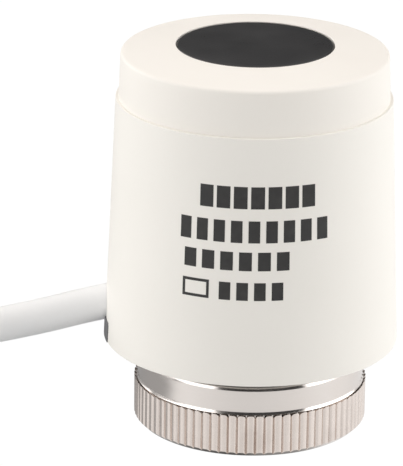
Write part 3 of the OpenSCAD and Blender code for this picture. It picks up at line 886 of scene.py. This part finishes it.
def patch(shape, az0, az1, z0, z1):
    """A thin closed piece of ink that follows the casing's cone."""
    n = max(2, int((az1 - az0) / INK_STEP))
    section = [(cone(z) + off, z) for z, off in (
        (z0, -INK_SINK), (z0, INK_LIFT), (z1, INK_LIFT), (z1, -INK_SINK))]
    verts, faces = [], []
    for i in range(n + 1):
        a = math.radians(-90 + az0 + (az1 - az0) * i / n)
        verts += [(r * math.cos(a), r * math.sin(a), z) for r, z in section]
    for i in range(n):
        for k in range(4):
            m = (k + 1) % 4
            faces.append([i * 4 + k, i * 4 + m, (i + 1) * 4 + m, (i + 1) * 4 + k])
    faces += [[0, 1, 2, 3], [n * 4 + k for k in (3, 2, 1, 0)]]
    shape.add(verts, faces)


def make_print():
    """Plain bars and one open frame where the casing carries its print; they hold no letters."""
    ink = Shape()
    for az0, az1, z0, z1, count, share in PRINT_ROWS:
        pitch = (az1 - az0) / (count - 1 + share)
        for i in range(count):
            patch(ink, az0 + pitch * i, az0 + pitch * (i + share), z0, z1)
    side_low, side_high = FRAME_LOW + FRAME_BAR + FRAME_GAP, FRAME_HIGH - FRAME_BAR - FRAME_GAP
    patch(ink, FRAME_LEFT, FRAME_RIGHT, FRAME_HIGH - FRAME_BAR, FRAME_HIGH)
    patch(ink, FRAME_LEFT, FRAME_RIGHT, FRAME_LOW, FRAME_LOW + FRAME_BAR)
    patch(ink, FRAME_LEFT, FRAME_LEFT + FRAME_SIDE, side_low, side_high)
    patch(ink, FRAME_RIGHT - FRAME_SIDE, FRAME_RIGHT, side_low, side_high)
    ink.build("casing_print", "housing", "print_ink")


make_print()

# ---------------------------------------------------------------- heater, wax cell and plunger's foot

for name, body, look, node, outline in (
    ("insulating_wafer", "housing", "insulator_white", "insulator_disc", [
        (0, 35.3), (7.5, 35.3), (7.5, 35.9), (0, 35.9)]),
    ("heating_pill", "housing", "heater_grey", "heater_disc", [
        (0, 36.2), (5.5, 36.2, 0.25), (5.5, 38.2, 0.25), (0, 38.2)]),
    ("cell_cup", "housing", "cell_brass", "wax_cup", [
        (0, 38.5), (6.2, 38.5, 0.6), (6.2, 46.0, 0), (6.14, 46.6, 0.3), (5.7, 47.0, 0.3),
        (4.2, 47.0, 0.15), (4.2, 46.6, 0), (5.0, 46.6, 0), (5.0, 39.4, 0), (0, 39.4)]),
    ("cell_guide", "housing", "cell_brass", "wax_guide", [
        (1.55, 44.6, 0), (5.0, 44.6, 0), (5.0, 46.6, 0.1), (3.4, 46.6, 0.4), (3.4, 48.9, 0.35),
        (1.55, 48.9, 0.2)]),
    ("cell_piston", "piston", "plain_steel", "wax_piston", [
        (0, 43.6), (1.5, 43.6, 0.25), (1.5, 50.2, 0.12), (0, 50.2)]),
    ("foot_button", "plunger", "plain_steel", "pressure_foot", [
        (0, 19.1), (6.5, 19.1, 0.35), (6.5, 20.3, 0.15), (2.0, 20.3, 0), (2.0, 23.1, 0.3),
        (0, 23.1)]),
):
    turned(name, outline, body, look, node, edge=0.08)

# ---------------------------------------------------------------- spring, wires and fasteners

SPRING_LOW, SPRING_TOP, SPRING_WIRE, SPRING_R, SPRING_TURNS = 29.0, 45.6, 2.2, 13.1, 4.75
END_TURNS, END_PITCH = 0.75, SPRING_WIRE * 1.05
SPRING_STEPS = 64  # in a turn
CUT_WIRE = 0.9  # of its radius, at the spring's two cut ends


def make_spring():
    """The main spring, with its end turns closed."""
    free_turns = SPRING_TURNS - 2 * END_TURNS
    pitch = (SPRING_TOP - SPRING_LOW - SPRING_WIRE - 2 * END_TURNS * END_PITCH) / free_turns
    steps = round(SPRING_TURNS * SPRING_STEPS)
    line = []
    for i in range(steps + 1):
        turn = SPRING_TURNS * i / steps
        rise = END_PITCH * (min(turn, END_TURNS) + max(turn - SPRING_TURNS + END_TURNS, 0))
        rise += pitch * min(max(turn - END_TURNS, 0), free_turns)
        line.append((SPRING_R * math.cos(TAU * turn), SPRING_R * math.sin(TAU * turn),
                     SPRING_LOW + SPRING_WIRE / 2 + rise))
    radii = [SPRING_WIRE / 2 * (CUT_WIRE if i in (0, steps) else 1.0) for i in range(steps + 1)]
    spring = Shape().add(*sweep(line, radii)).build(
        "spring_wire", "housing", "spring_steel", ("main_spring",), sharp=50)
    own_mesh(spring)


# the blue wire's route; the brown one's is its mirror image
WIRE_ROUTE = [
    (-15.1, 1.1, 19.4), (-14.1, 1.7, 19.8), (-13.6, 4.2, 21), (-13.9, 6.4, 22.8), (-14.8, 7.5, 25.2),
    (-15.4, 7.6, 29), (-15.4, 7.6, 36), (-15.4, 7.6, 43), (-14.9, 7.3, 46.8), (-12.5, 5.6, 49),
    (-10, 3.8, 49.4), (-8.4, 2.4, 48.2), (-8.2, 2.2, 46.2),
]
WIRE_R, WIRE_STEPS = 1.0, 6


def make_wires():
    for colour, side in (("brown", -1), ("blue", 1)):
        line = curve([(x, side * y, z) for x, y, z in WIRE_ROUTE], WIRE_STEPS)
        Shape().add(*sweep(line, WIRE_R)).build(
            "lead_" + colour, "housing", "core_" + colour, ("wire_" + colour,), sharp=50)


SCREW_SIDES, ROWS_PER_PITCH, DRIVE_RINGS = 32, 10, 9
SCREW_TIP = 0.6  # of the core's radius
FADE_IN, FADE_OUT = 8, 4  # rows over which a thread rises and runs out
FLANK = 2.6


def screw(low, high, core, thread, pitch, head, slots):
    """A screw along Z: a threaded shank from low to high, and a head with a slot or cross cut in it.
    head is the outline from the shank's edge to the drive face; slots is the half width, the reach
    and the depth of the cut, which is a cross where it ends inside the face."""
    rows = max(8, int((high - low) / pitch * ROWS_PER_PITCH))
    face_r, head_at = head[-1]
    half, reach, depth = slots
    verts, rings, faces = [], [], []

    def ring(radius, height):
        """radius may be a function of angle, and height a function of x and y."""
        rings.append(len(verts))
        for k in range(SCREW_SIDES):
            a = TAU * k / SCREW_SIDES
            r = radius(a) if callable(radius) else radius
            x, y = r * math.cos(a), r * math.sin(a)
            verts.append((x, y, height(x, y) if callable(height) else height))

    far, near, inward = (high, low, 1) if head_at <= low else (low, high, -1)
    slot_floor = head_at + inward * depth

    def drive(x, y):
        cut = min(abs(x), abs(y)) < half if reach < face_r else abs(y) < half
        return slot_floor if cut and math.hypot(x, y) < reach + TINY else head_at

    ring(core * SCREW_TIP, far)
    for i in range(rows + 1):
        z = far + (near - far) * i / rows
        crest = (thread - core) * min(1.0, i / FADE_IN, (rows - i) / FADE_OUT)
        ring(lambda a, z=z, crest=crest: core + crest
             * max(0.0, 1 - FLANK * abs((z / pitch - a / TAU) % 1.0 - 0.5)), z)
    for r, z in head:
        ring(r, z)
    for i in range(DRIVE_RINGS):
        ring(face_r * (1 - (i + 0.5) / DRIVE_RINGS), drive)
    for a, b in zip(rings[:-1], rings[1:]):
        for k in range(SCREW_SIDES):
            m = (k + 1) % SCREW_SIDES
            faces.append([a + k, a + m, b + m, b + k])
    faces.append([rings[0] + k for k in range(SCREW_SIDES)])
    verts.append((0, 0, slot_floor))
    for k in range(SCREW_SIDES):
        faces.append([rings[-1] + k, rings[-1] + (k + 1) % SCREW_SIDES, len(verts) - 1])
    return verts, faces


FLOOR_SCREW = screw(13.2, 18.5, 0.86, 1.1, 0.8, [(1.1, 13.2), (2.0, 12.46), (2.05, 12.38), (1.98, 12.35)],
                    (0.28, 1.35, 0.45))
GRIP_SCREW = screw(17.1, 23.1, 0.7, 0.9, 0.6, [(1.6, 23.1), (1.6, 23.9), (1.45, 24.2), (1.1, 24.3)],
                   (0.26, 2.0, 0.5))
GRIP_SCREW_SPOTS = [Matrix.Translation((-16.8, y, 0)) for y in (-4.5, 4.5)]
POST = revolve(rounded([
    (0, 12.95), (1.2, 12.95, 0.25), (1.2, 47.0, 0), (2.0, 47.0, 0.15), (2.0, 47.7, 0.2),
    (1.3, 48.05, 0.2), (0, 48.1)], 0.1), 40)
POST_CIRCLE_R = 16.1
POST_SPOTS = [Matrix.Rotation(TAU * k / 3, 4, "Z") @ Matrix.Translation((POST_CIRCLE_R, 0, 0))
              for k in range(3)]


def make_fasteners():
    for name, node, fastener, spots in (
        ("floor_screws", "base_screws", FLOOR_SCREW, SCREW_SPOTS),
        ("grip_screws", "clamp_screws", GRIP_SCREW, GRIP_SCREW_SPOTS),
        ("riveted_posts", "frame_posts", POST, POST_SPOTS),
    ):
        row = Shape()
        for spot in spots:
            row.add(*moved(fastener, spot))
        row.build(name, "housing", "plain_steel", (node,), sharp=40)


make_spring()
make_wires()
make_fasteners()

# ---------------------------------------------------------------- pieces shaped like CAD nodes


def edged(node, name, look, edge, body="housing"):
    """A piece in the shape of a CAD node with its edges rounded, which stands for that node."""
    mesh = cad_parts[node].data.copy()
    mesh.name = name
    bm = bmesh.new()
    bm.from_mesh(mesh)
    bmesh.ops.remove_doubles(bm, verts=bm.verts, dist=CAD_WELD)
    for face in bm.faces:
        face.smooth = True
        face.material_index = 0
    bm.to_mesh(mesh)
    bm.free()
    if "custom_normal" in mesh.attributes:
        mesh.attributes.remove(mesh.attributes["custom_normal"])
    mesh.set_sharp_from_angle(angle=math.radians(SHARP))
    mesh.materials.clear()
    soften(place_piece(name, mesh, body, look, (node,)), edge)


for row in (
    ("base_plate", "floor_moulding", "dark_plastic", 0.15),
    ("snap_ring", "retaining_ring", "spring_steel", 0.12),
    ("spring_plate", "pressed_plate", "sheet_steel", 0.12),
    ("carriage", "cage_moulding", "carriage_plastic", 0.2, "plunger"),
    ("lift_bridge", "pressed_bridge", "sheet_steel", 0.2, "plunger"),
    ("heater_seat", "seat_moulding", "seat_plastic", 0.2),
    ("contact_lower", "lower_blade", "contact_brass", 0.05),
    ("contact_upper", "upper_blade", "contact_brass", 0.05),
    ("wax_charge", "wax_fill", "wax_amber", 0.15),
    ("wax_seal", "wax_gasket", "seal_rubber", 0.12),
    ("cable_gland", "gland_bush", "gland_rubber", 0.15),
    ("cord_clamp", "grip_bar", "dark_plastic", 0.25),
    ("wire_terminals", "push_terminals", "sheet_steel", 0.15),
):
    edged(*row)

# the three O-rings keep their CAD meshes
for node in ("indicator_seal", "base_seal", "plunger_seal"):
    ring_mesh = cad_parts[node].data
    ring_mesh.materials.clear()
    ring_mesh.materials.append(LOOKS["seal_rubber"])

# ---------------------------------------------------------------- floor and light

WHITE, WHITE_LEVEL = (1, 1, 1, 1), 1.02
FLOOR_SIZE = 12  # metres
BASE_LIGHT, TOP_LIGHT, REAR_LIGHT = 0.05, 1.06, 1.12
LEFT_LIGHT, RIGHT_LIGHT = 2.22, 2.92
TABLE_FRONT, TABLE_SIDES = 0.88, 0.2
TABLE_SHADE, TABLE_BELOW = 0.42, 0.35  # of the table's light: at the back left, and straight below
# where each light starts and ends: X, Y or Z of a direction, or X of its level part for left and right
BOX_TOP, LEFT_EDGE, RIGHT_EDGE = (0.58, 0.74), (-0.62, -0.52), (0.80, 0.88)
TOP_EDGE, REAR_LOW_EDGE, REAR_FRONT_EDGE = (0.62, 0.74), (0.45, 0.6), (0.0, 0.2)
HORIZON, BELOW_EDGE = (-0.04, 0.04), (-0.85, -0.65)
SHADE_BACK_EDGE, SHADE_RIGHT_EDGE = (-0.24, 0.12), (-0.05, 0.05)
NOT_ZERO = 0.0001  # so that straight up is not a division by zero
WARM_EDGE, LOW_COLOUR, HIGH_COLOUR = (0.3, 0.9), (1.0, 0.998, 0.992, 1), (1.0, 0.955, 0.925, 1)


def glowing(tree, kind):
    node = tree.nodes.new(kind)
    node.inputs["Color"].default_value = WHITE
    node.inputs["Strength"].default_value = WHITE_LEVEL
    return node


def choose(tree, share, first, second, out):
    """The first shader where share is 0 and the second where it is 1, as the tree's output."""
    node = tree.nodes.new("ShaderNodeMixShader")
    for value, socket in zip((share, first.outputs[0], second.outputs[0]), node.inputs):
        tree.links.new(value, socket)
    tree.links.new(node.outputs[0], tree.nodes.new(out).inputs[0])


def make_floor():
    """A white plane that only the camera sees, and only from above."""
    bpy.ops.mesh.primitive_plane_add(size=FLOOR_SIZE, location=(0, 0, 0))
    floor = bpy.context.object
    floor.name = "floor"
    glow = bpy.data.materials.new("floor")
    glow.use_nodes = True
    tree = glow.node_tree
    tree.nodes.clear()
    below = tree.nodes.new("ShaderNodeNewGeometry").outputs["Backfacing"]
    choose(tree, below, glowing(tree, "ShaderNodeEmission"),
           tree.nodes.new("ShaderNodeBsdfTransparent"), "ShaderNodeOutputMaterial")
    floor.data.materials.append(glow)
    floor.visible_diffuse = floor.visible_glossy = floor.visible_shadow = False


def make_world():
    """White to the camera; to the object, two side softboxes, lights above and behind and a pale table."""
    world = bpy.data.worlds.new("studio")
    bpy.context.scene.world = world
    world.use_nodes = True
    tree = world.node_tree
    tree.nodes.clear()
    parts = tree.nodes.new("ShaderNodeSeparateXYZ")
    link(tree, tree.nodes.new("ShaderNodeTexCoord").outputs["Generated"], parts.inputs[0])
    x, y, z = parts.outputs
    across = add(tree, times(tree, x, x), times(tree, y, y))
    flat = math_node(tree, "SQRT", add(tree, across, NOT_ZERO))
    side = math_node(tree, "DIVIDE", x, flat)
    box = step(tree, z, *BOX_TOP, 1.0, 0.0)
    left = times(tree, box, step(tree, side, *LEFT_EDGE, LEFT_LIGHT, 0.0))
    right = times(tree, box, step(tree, side, *RIGHT_EDGE, 0.0, RIGHT_LIGHT))
    top = step(tree, z, *TOP_EDGE, 0.0, TOP_LIGHT)
    rear = times(tree, step(tree, y, *REAR_FRONT_EDGE), step(tree, z, *REAR_LOW_EDGE, 0.0, REAR_LIGHT))
    upper = highest(tree, left, right, top, rear, BASE_LIGHT)
    table = add(tree, times(tree, times(tree, side, side), TABLE_SIDES), TABLE_FRONT)
    shade = highest(tree, step(tree, y, *SHADE_BACK_EDGE, 1.0, TABLE_SHADE),
                    step(tree, x, *SHADE_RIGHT_EDGE))
    below = step(tree, z, *BELOW_EDGE, TABLE_BELOW, 1.0)
    table = times(tree, times(tree, table, shade), below)
    above = step(tree, z, *HORIZON)
    under = math_node(tree, "SUBTRACT", 1.0, above)
    strength = add(tree, times(tree, upper, above), times(tree, table, under))
    warm = tree.nodes.new("ShaderNodeMix")
    warm.data_type = "RGBA"
    link(tree, step(tree, z, *WARM_EDGE), warm.inputs["Factor"])
    warm.inputs["A"].default_value = LOW_COLOUR
    warm.inputs["B"].default_value = HIGH_COLOUR
    studio = tree.nodes.new("ShaderNodeBackground")
    link(tree, warm.outputs["Result"], studio.inputs["Color"])
    link(tree, strength, studio.inputs["Strength"])
    seen = tree.nodes.new("ShaderNodeLightPath").outputs["Is Camera Ray"]
    choose(tree, seen, studio, glowing(tree, "ShaderNodeBackground"), "ShaderNodeOutputWorld")


make_floor()
make_world()
bpy.context.scene.view_settings.view_transform = "Standard"
